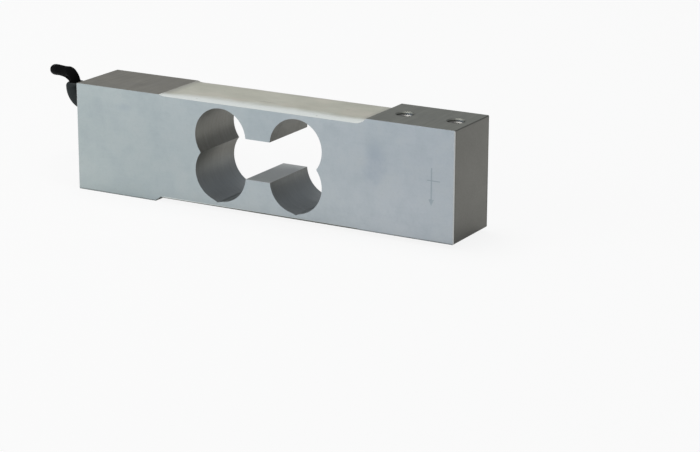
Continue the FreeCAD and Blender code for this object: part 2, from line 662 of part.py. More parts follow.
def racetrack(radius, half_run, middle, z):
    """A closed loop of two straight runs and two half-round folds."""
    mx, my = middle
    right, left = mx + half_run, mx - half_run
    far_left, far_right = Vector(left, my + radius, z), Vector(right, my + radius, z)
    near_left, near_right = Vector(left, my - radius, z), Vector(right, my - radius, z)
    return Part.Wire([
        Part.LineSegment(far_left, far_right).toShape(),
        Part.Arc(far_right, Vector(right + radius, my, z), near_right).toShape(),
        Part.LineSegment(near_right, near_left).toShape(),
        Part.Arc(near_left, Vector(left - radius, my, z), far_left).toShape(),
    ])


# The cable climbs out of the boot, bends over towards -X, swings back behind the beam and comes
# down on to the hank. Its last point is where the hank's top turn begins.
CABLE_ROUTE = [
    (-83.9, 0.0, 32.3), (-83.9, 0.0, 34.3), (-85.2, 0.5, 37.2), (-88.0, 2.0, 38.5),
    (-91.1, 4.2, 37.6), (-99.6, 8.6, 36.9), (-104.0, 14.2, 34.7), (-106.2, 20.2, 33.2),
    (-106.4, 25.4, 31.2), (-105.9, 28.8, 28.0), (-105.5, 31.0, 23.2), (-104.2, 32.8, 17.8),
    (-100.8, 34.7, 13.6), (-95.4, 36.9, 10.8), (-89.0, 37.6, 9.4), (-81.0, 37.6, 9.4),
]


def make_cable():
    diameter = size("cable_diameter")
    path, radii = rounded_path(CABLE_ROUTE)
    print("cable arc radii in diameters:", [round(r / diameter, 1) for r in radii])
    tube = round_wire(CABLE_ROUTE, diameter)
    share = tube.Volume / (path.Length * math.pi * (diameter / 2) ** 2)
    print("cable length", round(path.Length, 1), "volume against section times length", round(share, 4))
    wires_node("cable", [tube])

    mx, my = size("hank_middle"), Shared.half_width + size("hank_offset")
    fold, half_run = size("fold_radius"), size("hank_half_run")
    base = size("tie_thickness")

    def ring(z, height):
        outer = Part.Face(racetrack(fold + diameter / 2, half_run, (mx, my), z))
        inner = Part.Face(racetrack(fold - diameter / 2, half_run, (mx, my), z))
        return outer.cut(inner).extrude(Vector(0, 0, height))

    two_turns = ring(base, 2 * diameter)
    top_turn = ring(base + 2 * diameter, diameter)
    # The top turn lies on the far run only, and steps down round the fold at +X.
    far_side = Part.makeBox(half_run * 2 + 2 * fold, 2 * fold, 2 * diameter,
                            Vector(mx - half_run, my, base + 2 * diameter))
    lead_out = math.radians(size("lead_out_angle"))
    leave = Vector(mx + half_run + size("lead_off_ahead"), my - fold + size("lead_off_inside"),
                   base + diameter / 2)
    ahead = Vector(-math.cos(lead_out), math.sin(lead_out), 0)
    stub = Part.makeCylinder(diameter / 2, size("stub_run"), leave, ahead)
    hank = doc.addObject("Part::Feature", "cable_hank")
    hank.Shape = two_turns.multiFuse([top_turn.common(far_side), stub]).removeSplitter()
    keep("cable_hank", hank)

    def tie(y, layers):
        gap = size("fit_gap")
        wide, tall = diameter + 2 * gap, layers * diameter + gap
        band = size("tie_thickness")
        place = mx - size("tie_place")
        outer = Part.makeBox(size("tie_width"), wide + 2 * band, tall + 2 * band,
                             Vector(place, y - wide / 2 - band, 0))
        inside = Part.makeBox(size("tie_width"), wide, tall, Vector(place, y - wide / 2, band))
        return outer.cut(inside)

    wires_node("hank_ties", [tie(my - fold, 2), tie(my + fold, 3)])

    sleeve_radius = size("sleeve_diameter") / 2
    end = leave + ahead * size("stub_run")
    sleeve_start = Vector(end.x, end.y, sleeve_radius)
    sleeve = Part.makeCylinder(sleeve_radius, size("sleeve_length"), sleeve_start, ahead)
    wires_node("end_sleeve", [sleeve])

    across = Vector(-ahead.y, ahead.x, 0)
    mouth = sleeve_start + ahead * size("sleeve_length")
    thick = size("lead_diameter")
    turn_x = mx - half_run
    low = thick / 2 + size("fit_gap") / 2
    for index, colour in enumerate(("red", "black", "green", "white")):
        start = mouth - across * ((index - 1.5) * size("lead_pitch"))
        ring_radius = size("first_lead_turn") + (3 - index) * size("lead_spread")
        clear = start + ahead * (size("lead_stagger") * (index + 1.5))
        wires_node(f"lead_{colour}", [round_wire([
            tuple(start), tuple(clear),
            (turn_x + 2, my - ring_radius, low), (turn_x - 0.4 * ring_radius, my - ring_radius, low),
            (turn_x - ring_radius, my - 0.4 * ring_radius, low),
            (turn_x - ring_radius, my + 0.4 * ring_radius, low),
            (turn_x - 0.4 * ring_radius, my + ring_radius, low),
            (turn_x + size("lead_tail") + index, my + ring_radius, low)], thick)])


# ---------------------------------------------------------------- the whole cell
make_beam()
make_gauges()
make_board()
make_inner_wires()
make_potting("potting_top", False,
             ["gauge_backing_top_fixed", "gauge_backing_top_live", "gauge_foil_top_fixed",
              "gauge_foil_top_live", "bridge_board", "span_resistor", "zero_resistor",
              "compensation_resistor", "jumper_wires_top", "cross_wires", "cable_cores"], True)
make_potting("potting_under", True,
             ["gauge_backing_under_fixed", "gauge_backing_under_live", "gauge_foil_under_fixed",
              "gauge_foil_under_live", "terminal_strip", "jumper_wires_under", "cross_wires"],
             False)
make_boot()
make_cable()
doc.recompute()

# ---------------------------------------------------------------- check and write the files
for item in doc.Objects:
    if {"Invalid", "Error"} & set(item.State):
        raise RuntimeError(f"{item.Label} failed: {item.State}")
os.makedirs("parts", exist_ok=True)
for name, piece in parts.items():
    shape = piece.Shape
    if shape.isNull() or not shape.isValid() or not shape.Solids:
        raise RuntimeError(f"{name} has no valid solid")
    shape.exportStep(os.path.join("parts", f"{name}.step"))
    print(name, len(shape.Solids), "solid", round(shape.Volume, 2))
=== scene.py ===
import json
import math

import bmesh
import bpy
from mathutils import Matrix, Vector
from mathutils import noise as noise3


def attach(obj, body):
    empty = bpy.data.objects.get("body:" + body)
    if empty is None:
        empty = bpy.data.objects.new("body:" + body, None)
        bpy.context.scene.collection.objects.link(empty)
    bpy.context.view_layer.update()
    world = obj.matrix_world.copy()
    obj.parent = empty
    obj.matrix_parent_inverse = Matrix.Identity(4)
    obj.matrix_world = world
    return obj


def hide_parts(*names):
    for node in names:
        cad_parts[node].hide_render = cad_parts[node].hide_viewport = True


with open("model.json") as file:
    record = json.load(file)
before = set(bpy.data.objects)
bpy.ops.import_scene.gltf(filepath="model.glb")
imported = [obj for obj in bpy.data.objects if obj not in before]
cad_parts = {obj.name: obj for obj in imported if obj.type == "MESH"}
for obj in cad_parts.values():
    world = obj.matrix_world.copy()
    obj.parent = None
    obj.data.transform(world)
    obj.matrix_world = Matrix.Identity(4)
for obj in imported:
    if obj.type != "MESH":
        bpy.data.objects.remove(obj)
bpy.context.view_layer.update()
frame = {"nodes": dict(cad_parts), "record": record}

# Millimetres, the unit of every size below.
MM = 0.001


def mm(point):
    return Vector(point) * MM


# ---------------------------------------------------------------- camera
def add_camera():
    right = Vector((0.8705, 0.4922, 0.0038))
    up = Vector((-0.1421, 0.2438, 0.9594))
    forward = Vector((-0.4712, 0.8357, -0.2822))
    data = bpy.data.cameras.new("camera")
    data.lens, data.sensor_width = 121.0, 36.0
    data.clip_start, data.clip_end = 0.01, 20.0
    camera = bpy.data.objects.new("camera", data)
    turn = Matrix((right, up, -forward)).transposed().to_4x4()
    camera.matrix_world = Matrix.Translation((0.4074, -0.6708, 0.2246)) @ turn
    bpy.context.scene.collection.objects.link(camera)
    bpy.context.scene.camera = camera


add_camera()


# ---------------------------------------------------------------- making pieces
HALF_TURN = Matrix.Rotation(math.pi, 3, "Y")


def link(name, data, slot, *replaced):
    """Put a mesh or curve in the scene as a piece of the cell."""
    piece = bpy.data.objects.new(name, data)
    bpy.context.scene.collection.objects.link(piece)
    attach(piece, "root")
    if replaced:
        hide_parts(*replaced)
    return piece


def mesh_from(bm, name, smooth_angle=35):
    """Merge, turn outwards and smooth a bmesh, and make it a mesh."""
    bmesh.ops.remove_doubles(bm, verts=bm.verts, dist=1e-7)
    bmesh.ops.recalc_face_normals(bm, faces=bm.faces)
    limit = math.radians(smooth_angle)
    for face in bm.faces:
        face.smooth = True
    for edge in bm.edges:
        edge.smooth = len(edge.link_faces) == 2 and edge.calc_face_angle(0) < limit
    mesh = bpy.data.meshes.new(name)
    bm.to_mesh(mesh)
    bm.free()
    return mesh


def round_curve(name, points, diameter, slot, *replaced):
    """A cord: one smooth spline with the route's points as its control points. Its thickness is
    in the points' radius, which keeps the curve's own box close round it."""
    data = bpy.data.curves.new(name, "CURVE")
    data.dimensions = "3D"
    spline = data.splines.new("NURBS")
    spline.points.add(len(points) - 1)
    for knot, point in zip(spline.points, points):
        knot.co = (*mm(point), 1)
        knot.radius = diameter / 2 * MM
    spline.order_u = 3
    spline.use_endpoint_u = True
    spline.resolution_u = 8
    data.bevel_depth = 1
    data.bevel_resolution = 8
    data.use_fill_caps = True
    return link(name, data, slot, *replaced)


def turned(bm, axis_from, axis_to):
    """Stand a piece made along +Z on the way from one point to another."""
    way = axis_to - axis_from
    turn = way.to_track_quat("Z", "Y").to_matrix().to_4x4()
    bmesh.ops.transform(bm, matrix=Matrix.Translation(mm(axis_from)) @ turn, verts=bm.verts)


# ---------------------------------------------------------------- cable
CABLE_DIAMETER = 3.6
CABLE_ROUTE = [
    (-83.9, 0.0, 32.3), (-83.9, 0.0, 34.3), (-85.2, 0.5, 37.2), (-88.0, 2.0, 38.5),
    (-91.1, 4.2, 37.6), (-99.6, 8.6, 36.9), (-104.0, 14.2, 34.7), (-106.2, 20.2, 33.2),
    (-106.4, 25.4, 31.2), (-105.9, 28.8, 28.0), (-105.5, 31.0, 23.2), (-104.2, 32.8, 17.8),
    (-100.8, 34.7, 13.6), (-95.4, 36.9, 10.8), (-89.0, 37.6, 9.4),
]
HANK_MIDDLE = (-66.0, 27.2)
HANK_HALF_RUN = 15.0
HANK_FOLD = 10.4
LAYERS = (2.2, 5.82, 9.44)
FOLD_STEPS = 6
RUN_PLACES = (-12, 0, 12)
# The last turn draws in on the right, so that the cable's end can leave inside it.
LAST_FOLD = ((2.6, 10.0), (5.4, 7.6), (6.6, 4.0), (6.4, 0.0), (5.6, -3.4), (3.2, -5.8),
             (-1.0, -7.0))
END_PASS = (-55.5, 21.4)
# The cable's end leaves the hank inside its turns, straight into the sleeve.
LEAD_OFF = Vector((-47.0, 19.0, 2.2))
LEAD_OFF_TURN = math.radians(16)
AHEAD = Vector((-math.cos(LEAD_OFF_TURN), math.sin(LEAD_OFF_TURN), 0))
ACROSS = Vector((-AHEAD.y, AHEAD.x, 0))
STUB_RUN, SLEEVE_LENGTH, SLEEVE_DIAMETER = 14.0, 7.0, 4.1
SLEEVE_START = Vector((LEAD_OFF.x, LEAD_OFF.y, SLEEVE_DIAMETER / 2)) + AHEAD * STUB_RUN
SLEEVE_MOUTH = SLEEVE_START + AHEAD * SLEEVE_LENGTH


def fold_points(side, radii, heights):
    """One end of a turn: from the far run to the near one on the right, back on the left."""
    mx, my = HANK_MIDDLE
    swell = 1 / math.cos(math.radians(90 / FOLD_STEPS)) * 1.01
    found = []
    for step in range(FOLD_STEPS):
        share = (step + 0.5) / FOLD_STEPS
        angle = math.radians(90 - 180 * share) if side > 0 else math.radians(270 - 180 * share)
        radius = (radii[0] + (radii[1] - radii[0]) * share) * swell
        ease = min(max((share - 0.35) / 0.6, 0), 1)
        height = heights[0] + (heights[1] - heights[0]) * ease
        found.append((mx + side * HANK_HALF_RUN + radius * math.cos(angle),
                      my + radius * math.sin(angle), height))
    return found


def hank_points():
    """Three turns, the second under the first, and the end led off inside them."""
    mx, my = HANK_MIDDLE
    low, middle, high = LAYERS
    route = []
    for far, near in ((high, middle), (middle, low)):
        route += [(mx + x, my + HANK_FOLD, far) for x in RUN_PLACES]
        route += fold_points(1, (HANK_FOLD, HANK_FOLD), (far, near))
        route += [(mx + x, my - HANK_FOLD, near) for x in reversed(RUN_PLACES)]
        route += fold_points(-1, (HANK_FOLD, HANK_FOLD), (near, near))
    route += [(mx + x, my + HANK_FOLD, low) for x in RUN_PLACES]
    route += [(mx + HANK_HALF_RUN + x, my + y, low) for x, y in LAST_FOLD]
    end = SLEEVE_START + AHEAD
    route += [(*END_PASS, low), (end.x, end.y, low)]
    return route


cable = round_curve("jacketed_cable", CABLE_ROUTE + hank_points(), CABLE_DIAMETER, "cable_jacket",
                    "cable", "cable_hank")

LEAD_DIAMETER, LEAD_PITCH, LEAD_STAGGER = 0.9, 0.95, 0.9
FIRST_LEAD_TURN, LEAD_SPREAD, LEAD_TAIL, LEAD_LIFT = 2.9, 1.4, 7.0, 0.05
LEAD_COLOURS = ("red", "black", "green", "white")


def lead_points(index):
    """A lead's way out of the sleeve, down and round inside the hank's left fold."""
    mx, my = HANK_MIDDLE
    turn_x, low = mx - HANK_HALF_RUN, LEAD_DIAMETER / 2 + LEAD_LIFT
    start = SLEEVE_MOUTH - ACROSS * ((index - 1.5) * LEAD_PITCH)
    clear = start + AHEAD * (LEAD_STAGGER * (index + 1.5))
    r = FIRST_LEAD_TURN + (3 - index) * LEAD_SPREAD
    return [tuple(start), tuple(clear), (turn_x + 2, my - r, low), (turn_x - 0.4 * r, my - r, low),
            (turn_x - r, my - 0.4 * r, low), (turn_x - r, my + 0.4 * r, low),
            (turn_x - 0.4 * r, my + r, low), (turn_x + LEAD_TAIL + index, my + r, low)]


TIP_LENGTH, TIP_INSIDE, TIP_STEPS, TIP_TWIST = 4.5, 0.3, 36, math.radians(14)
OUTER_STRANDS, STRAND_RADIUS, STRAND_REACH = 6, 0.1, 0.17


def make_tip(name, end):
    """The stripped end of a lead: seven strands, twisted and tinned together."""
    bm = bmesh.new()
    for strand in range(OUTER_STRANDS + 1):
        ring = bmesh.ops.create_circle(bm, cap_ends=True, segments=8,
                                       radius=STRAND_RADIUS * MM)["verts"]
        angle = strand * math.tau / OUTER_STRANDS
        reach = STRAND_REACH if strand < OUTER_STRANDS else 0.0
        bmesh.ops.translate(bm, verts=ring, vec=mm((reach * math.cos(angle),
                                                    reach * math.sin(angle), -TIP_INSIDE)))
    faces = list(bm.faces)
    for step in range(TIP_STEPS):
        grown = bmesh.ops.extrude_discrete_faces(bm, faces=faces)["faces"] if step == 0 else None
        if grown is None:
            geom = bmesh.ops.extrude_face_region(bm, geom=faces)["geom"]
            grown = [item for item in geom if isinstance(item, bmesh.types.BMFace)]
        faces = grown
        verts = list({vert for face in faces for vert in face.verts})
        rise = (TIP_LENGTH + TIP_INSIDE) / TIP_STEPS * MM
        bmesh.ops.translate(bm, verts=verts, vec=(0, 0, rise))
        bmesh.ops.rotate(bm, verts=verts, cent=(0, 0, 0),
                         matrix=Matrix.Rotation(TIP_TWIST, 3, "Z"))
    turned(bm, end, end + Vector((1, 0.04, 0)))
    return link(name, mesh_from(bm, name, 60), "enamelled_wire")


leads, tips = [], []
for index, colour in enumerate(LEAD_COLOURS):
    points = lead_points(index)
    leads.append(round_curve(f"{colour}_lead_wire", points, LEAD_DIAMETER, f"lead_{colour}",
                             f"lead_{colour}"))
    tips.append(make_tip(f"{colour}_lead_tip", Vector(points[-1])))


# ---------------------------------------------------------------- sleeve and ties
# Each ring of the sleeve: its place along it, and its share of the sleeve's width.
SLEEVE_RINGS = ((0.0, 0.97), (0.25, 1.0), (3.2, 1.0), (4.4, 0.93), (5.6, 0.95), (6.75, 0.93),
                (SLEEVE_LENGTH, 0.86))


def make_sleeve():
    """Heat-shrink, tight on the jacket and drawn in a little over the four leads."""
    bm = bmesh.new()
    bmesh.ops.create_circle(bm, cap_ends=True, segments=40, radius=SLEEVE_DIAMETER / 2 * MM)
    bm.faces.ensure_lookup_table()
    face = bm.faces[0]
    before = SLEEVE_RINGS[0]
    bmesh.ops.scale(bm, vec=(before[1], before[1], 1), verts=face.verts)
    for height, share in SLEEVE_RINGS[1:]:
        grown = bmesh.ops.extrude_face_region(bm, geom=[face])
        face = next(item for item in grown["geom"] if isinstance(item, bmesh.types.BMFace))
        bmesh.ops.translate(bm, vec=(0, 0, (height - before[0]) * MM), verts=face.verts)
        bmesh.ops.scale(bm, vec=(share / before[1], share / before[1], 1), verts=face.verts)
        before = (height, share)
    turned(bm, SLEEVE_START, SLEEVE_MOUTH)
    return link("end_heat_shrink", mesh_from(bm, "end_heat_shrink", 50), "heat_shrink",
                "end_sleeve")


TIE_START, TIE_WIDTH, TIE_BAND, TIE_GAP, TIE_ROUND = -78.0, 2.5, 0.4, 0.05, 1.9
HEAD_OVER, HEAD_HALF, HEAD_SINK, HEAD_RISE = 0.6, 1.6, 0.5, 1.5
TAIL_INSET, TAIL_NEAR, TAIL_FAR, TAIL_LOW, TAIL_HIGH = 0.15, 0.25, 0.15, 1.2, 2.6


def block(bm, low, high):
    """A box between two corners. Returns its vertices."""
    made = bmesh.ops.create_cube(bm, size=1)["verts"]
    size = Vector(high) - Vector(low)
    bmesh.ops.scale(bm, vec=mm(size), verts=made)
    bmesh.ops.translate(bm, vec=mm((Vector(low) + Vector(high)) / 2), verts=made)
    return made


def bevel_edges(bm, edges, width, segments):
    bmesh.ops.bevel(bm, geom=edges, offset=width * MM, offset_type="OFFSET",
                    segments=segments, profile=0.5, affect="EDGES", material=-1)


def tie_mesh(y, layers):
    """A tie: a thin strap drawn round the run, with its ratchet head and cropped tail."""
    top = LAYERS[layers - 1] + CABLE_DIAMETER / 2 + TIE_GAP + TIE_BAND
    reach = CABLE_DIAMETER / 2 + TIE_GAP + TIE_BAND
    bm = bmesh.new()
    block(bm, (TIE_START, y - reach, 0.02), (TIE_START + TIE_WIDTH, y + reach, top))
    along = [edge for edge in bm.edges
             if abs((edge.verts[0].co - edge.verts[1].co).normalized().x) > 0.99]
    bevel_edges(bm, along, TIE_ROUND, 8)
    ends = [face for face in bm.faces if abs(face.normal.x) > 0.99]
    bmesh.ops.delete(bm, geom=ends, context="FACES")
    bmesh.ops.recalc_face_normals(bm, faces=bm.faces)
    bmesh.ops.solidify(bm, geom=bm.faces[:], thickness=TIE_BAND * MM)
    head = block(bm, (TIE_START - HEAD_OVER, y - HEAD_HALF, top - HEAD_SINK),
                 (TIE_START + TIE_WIDTH + HEAD_OVER, y + HEAD_HALF, top + HEAD_RISE))
    bevel_edges(bm, list({edge for vert in head for edge in vert.link_edges}), 0.25, 2)
    tail = block(bm, (TIE_START + TAIL_INSET, y - TAIL_NEAR, top + TAIL_LOW),
                 (TIE_START + TIE_WIDTH - TAIL_INSET, y + TAIL_FAR, top + TAIL_HIGH))
    bevel_edges(bm, list({edge for vert in tail for edge in vert.link_edges}), 0.08, 1)
    return bm


def make_ties():
    near = tie_mesh(HANK_MIDDLE[1] - HANK_FOLD, 2)
    far = tie_mesh(HANK_MIDDLE[1] + HANK_FOLD, 3)
    one = link("near_hank_tie", mesh_from(near, "near_hank_tie", 40), "nylon", "hank_ties")
    other = link("far_hank_tie", mesh_from(far, "far_hank_tie", 40), "nylon", "hank_ties")
    return [one, other]


sleeve = make_sleeve()
ties = make_ties()


# ---------------------------------------------------------------- silicone
CORE_TOP, RECESS_FLOOR, HEIGHT = 38.5, 38.0, 40.0
CUTTER, FLOOR_LEFT, FLOOR_RIGHT = 5.0, -37.82, 38.0
FILL_LEFT, FILL_RIGHT, HALF_WIDTH = -39.95, 40.1, 12.5
STRIP_PLACE = 32.5
SKIN_DROP, FLOOR_GAP, LEAST_FILL = 0.03, 0.004, 0.02
SKIN_COLUMNS, SKIN_ROWS = 150, 64


def floor_height(x):
    """The recess under the silicone: flat, with the cutter's curve at each end."""
    past = max(FLOOR_LEFT - x, x - FLOOR_RIGHT, 0)
    return RECESS_FLOOR + CUTTER - math.sqrt(CUTTER ** 2 - past ** 2)


def skin_height(x, y, seed, roll_depth, swell):
    """The cast surface: nearly flush, a little wavy, rolled down along both long edges. The fill
    underneath is levelled with more care, and swells a little over its terminal strip."""
    from_edge = HALF_WIDTH - abs(y)
    wave = noise3.noise(Vector((x * 0.09, y * 0.16, seed))) * 0.05
    ripple = noise3.noise(Vector((x * 0.45, y * 0.5, seed + 7))) * 0.018
    reach = 4.6 + 0.8 * noise3.noise(Vector((x * 0.12, seed * 3.1, 0.5)))
    roll = roll_depth * max(0, 1 - from_edge / reach) ** 2
    if not swell:
        return CORE_TOP - SKIN_DROP + wave + ripple - roll
    away = ((x - STRIP_PLACE) / 6) ** 4 + (y / 6.5) ** 4
    return CORE_TOP + (wave + ripple) / 2 - roll + swell * min(max(1.6 - 1.6 * away, 0), 1)


def make_silicone(name, replaced, seed, roll_depth, swell=0.0):
    """A thin cast slab: a fine grid for its skin, joined all round to one on the recess floor."""
    bm = bmesh.new()
    half_x, middle_x = (FILL_RIGHT - FILL_LEFT) / 2, (FILL_RIGHT + FILL_LEFT) / 2
    for layer in (0, 1):
        made = bmesh.ops.create_grid(bm, x_segments=SKIN_COLUMNS, y_segments=SKIN_ROWS,
                                     size=1)["verts"]
        bmesh.ops.scale(bm, vec=(half_x, HALF_WIDTH, 1), verts=made)
        for vert in made:
            # The rows close up towards both long edges, where the skin curves.
            share = vert.co.y / HALF_WIDTH
            vert.co.y = HALF_WIDTH * math.sin(share * math.pi / 2)
            x, y = vert.co.x + middle_x, vert.co.y
            floor_z = floor_height(x) + FLOOR_GAP
            skin_z = max(skin_height(x, y, seed, roll_depth, swell), floor_z + LEAST_FILL)
            vert.co = Vector((x, y, skin_z if layer else floor_z))
    rims = [edge for edge in bm.edges if edge.is_boundary]
    bmesh.ops.bridge_loops(bm, edges=rims)
    if swell:
        bmesh.ops.rotate(bm, cent=(0, 0, HEIGHT / 2), matrix=HALF_TURN, verts=bm.verts)
    bmesh.ops.scale(bm, vec=(MM, MM, MM), verts=bm.verts)
    return link(name, mesh_from(bm, name, 50), "silicone", replaced)


silicones = [make_silicone("silicone_top", "potting_top", 1.7, 0.42),
             make_silicone("silicone_under", "potting_under", 5.2, 0.02, 0.17)]


# ---------------------------------------------------------------- load arrow
ARROW_X, ARROW_LOW, ARROW_HIGH, ARROW_DEPTH = 66.6, 13.6, 26.5, 0.02
SHAFT_WIDTH, POINT_LENGTH, POINT_RADIUS, POINT_SHARE = 0.45, 2.2, 1.5, 0.75
BAR_LEFT, BAR_RIGHT, BAR_HEIGHT, BAR_WIDTH, BAR_LIFT = 65.0, 69.7, 22.2, 0.35, 0.004


def make_arrow():
    """A plain etched arrow with a cross bar, which points the way the load pushes."""
    bm = bmesh.new()
    shaft = bmesh.ops.create_grid(bm, x_segments=1, y_segments=12, size=0.5)["verts"]
    length = ARROW_HIGH - ARROW_LOW - POINT_LENGTH
    bmesh.ops.scale(bm, verts=shaft, vec=(SHAFT_WIDTH, length, 1))
    bmesh.ops.translate(bm, verts=shaft, vec=(0, ARROW_HIGH - length / 2, 0))
    bar = bmesh.ops.create_grid(bm, x_segments=6, y_segments=1, size=0.5)["verts"]
    bmesh.ops.scale(bm, verts=bar, vec=(BAR_RIGHT - BAR_LEFT, BAR_WIDTH, 1))
    bar_middle = (BAR_LEFT + BAR_RIGHT) / 2 - ARROW_X
    bmesh.ops.translate(bm, verts=bar, vec=(bar_middle, BAR_HEIGHT, BAR_LIFT))
    head = bmesh.ops.create_circle(bm, cap_ends=True, segments=3,
                                   radius=POINT_RADIUS)["verts"]
    bmesh.ops.rotate(bm, verts=head, cent=(0, 0, 0), matrix=Matrix.Rotation(math.pi, 3, "Z"))
    bmesh.ops.scale(bm, verts=head, vec=(POINT_SHARE, 1.0, 1))
    bmesh.ops.translate(bm, verts=head, vec=(0, ARROW_LOW + POINT_RADIUS, 0))
    bmesh.ops.recalc_face_normals(bm, faces=bm.faces)
    bmesh.ops.solidify(bm, geom=bm.faces[:], thickness=ARROW_DEPTH)
    upright = Matrix.Rotation(math.pi / 2, 3, "X")
    bmesh.ops.rotate(bm, verts=bm.verts, cent=(0, 0, 0), matrix=upright)
    bmesh.ops.translate(bm, verts=bm.verts, vec=(ARROW_X, -HALF_WIDTH - ARROW_DEPTH / 2, 0))
    bmesh.ops.scale(bm, verts=bm.verts, vec=(MM, MM, MM))
    return link("load_arrow", mesh_from(bm, "load_arrow", 20), "aluminium")


arrow = make_arrow()


# ---------------------------------------------------------------- threads
THREAD_PITCH, THREAD_TURNS, THREAD_STEPS, THREAD_START = 1.0, 12, 40, -13.2
# The corners of one ridge: radius, and height as a share of the pitch.
RIDGE_CORNERS = ((3.02, 0.06), (2.62, 0.42), (2.62, 0.56), (3.02, 0.92))
HOLE_CENTRES = (50.0, 69.0)


def make_thread(name, x, top):
    """The crests of one tapped hole, wound as a closed ridge up its wall."""
    bm = bmesh.new()
    profile = [bm.verts.new((radius * MM, 0, (THREAD_START + z * THREAD_PITCH) * MM))
               for radius, z in RIDGE_CORNERS]
    bm.faces.new(profile)
    bmesh.ops.spin(bm, geom=bm.faces[:] + bm.edges[:] + bm.verts[:], cent=(0, 0, 0),
                   axis=(0, 0, 1),
                   dvec=(0, 0, THREAD_PITCH * MM / THREAD_STEPS), angle=math.tau * THREAD_TURNS,
                   steps=THREAD_STEPS * THREAD_TURNS, use_merge=False)
    if top:
        bmesh.ops.translate(bm, vec=(x * MM, 0, HEIGHT * MM), verts=bm.verts)
    else:
        bmesh.ops.rotate(bm, cent=(0, 0, 0), matrix=HALF_TURN, verts=bm.verts)
        bmesh.ops.translate(bm, vec=(-x * MM, 0, 0), verts=bm.verts)
    return link(name, mesh_from(bm, name, 30), "aluminium")


threads = [make_thread(f"{'load' if top else 'base'}_thread_{place}", x, top)
           for top in (True, False) for place, x in zip(("inner", "outer"), HOLE_CENTRES)]


# ---------------------------------------------------------------- floor and light
def material(name):
    made = bpy.data.materials.new(name)
    made.use_nodes = True
    made.node_tree.nodes.clear()
    return made, made.node_tree


def node(tree, kind, settings=None, **inputs):
    """Add a shader node, with its settings and its sockets by name."""
    made = tree.nodes.new("ShaderNode" + kind)
    for key, value in (settings or {}).items():
        setattr(made, key, value)
    for key, value in inputs.items():
        socket = made.inputs[int(key[1:])] if key[0] == "_" else made.inputs[key.replace("_", " ")]
        if isinstance(value, bpy.types.NodeSocket):
            tree.links.new(value, socket)
        else:
            socket.default_value = value
    return made


def out(tree, shader):
    target = tree.nodes.new("ShaderNodeOutputMaterial")
    tree.links.new(shader, target.inputs["Surface"])


def add_floor():
    bm = bmesh.new()
    bmesh.ops.create_grid(bm, x_segments=1, y_segments=1, size=6)
    floor = bpy.data.objects.new("floor", mesh_from(bm, "floor"))
    bpy.context.scene.collection.objects.link(floor)
    made, tree = material("pale_floor")
    path = node(tree, "LightPath")
    seen = node(tree, "Math", {"operation": "MAXIMUM"}, _0=path.outputs["Is Camera Ray"],
                _1=path.outputs["Is Transmission Ray"])
    shaded = node(tree, "BsdfDiffuse", Color=(0.80, 0.80, 0.80, 1))
    white = node(tree, "Emission", Color=(1, 1, 1, 1), Strength=1.0)
    part = node(tree, "Math", {"operation": "MULTIPLY"}, _0=seen.outputs[0], _1=0.88)
    mix = node(tree, "MixShader", _0=part.outputs[0], _1=shaded.outputs[0], _2=white.outputs[0])
    out(tree, mix.outputs[0])
    floor.data.materials.append(made)


def add_area(name, place, aim, size, power, colour):
    data = bpy.data.lights.new(name, "AREA")
    data.shape, data.size, data.size_y = "RECTANGLE", size[0], size[1]
    data.energy, data.color = power, colour
    lamp = bpy.data.objects.new(name, data)
    lamp.location = place
    lamp.rotation_euler = (Vector(aim) - Vector(place)).to_track_quat("-Z", "Y").to_euler()
    bpy.context.scene.collection.objects.link(lamp)


def add_world():
    world = bpy.data.worlds.new("studio")
    bpy.context.scene.world = world
    world.use_nodes = True
    tree = world.node_tree
    tree.nodes.clear()
    path = node(tree, "LightPath")
    seen = node(tree, "Math", {"operation": "MAXIMUM"}, _0=path.outputs["Is Camera Ray"],
                _1=path.outputs["Is Transmission Ray"])
    dim = node(tree, "Background", Color=(0.93, 0.96, 1.0, 1), Strength=0.30)
    white = node(tree, "Background", Color=(1, 1, 1, 1), Strength=0.96)
    mix = node(tree, "MixShader", _0=seen.outputs[0], _1=dim.outputs[0], _2=white.outputs[0])
    target = tree.nodes.new("ShaderNodeOutputWorld")
    tree.links.new(mix.outputs[0], target.inputs["Surface"])


bpy.context.scene.view_settings.view_transform = "Standard"
add_floor()
add_world()
add_area("front_panel", (-0.75, -1.15, 0.42), (0, 0, 0.02), (1.3, 0.9), 8.4, (0.96, 0.985, 1.0))
add_area("top_fill", (-0.3, 0.1, 1.3), (0, 0, 0.02), (0.8, 0.8), 9, (1.0, 0.99, 0.96))


# ---------------------------------------------------------------- finishes
def object_place(tree):
    return node(tree, "TexCoord").outputs["Object"]


def stretched(tree, vector, scale):
    return node(tree, "Mapping", Vector=vector, Scale=scale).outputs[0]


def noise(tree, vector, scale, detail, roughness):
    return node(tree, "TexNoise", Vector=vector, Scale=scale, Detail=detail,
                Roughness=roughness).outputs["Fac"]


def spread(tree, value, low, high, start, end):
    """Map a value from one range to another, held at its ends."""
    return node(tree, "MapRange", Value=value, From_Min=low, From_Max=high, To_Min=start,
                To_Max=end).outputs[0]


def blend(tree, share, first, second, kind="MIX"):
    made = node(tree, "Mix", {"data_type": "RGBA", "blend_type": kind})
    for index, value in ((0, share), (6, first), (7, second)):
        if isinstance(value, bpy.types.NodeSocket):
            tree.links.new(value, made.inputs[index])
        else:
            made.inputs[index].default_value = value
    return made.outputs[2]


def blend_value(tree, share, first, second):
    return node(tree, "MapRange", Value=share, To_Min=first, To_Max=second).outputs[0]


def calc(tree, operation, first, second):
    return node(tree, "Math", {"operation": operation}, _0=first, _1=second).outputs[0]


def bump(tree, height, depth):
    return node(tree, "Bump", Height=height, Strength=1.0, Distance=depth * MM).outputs[0]


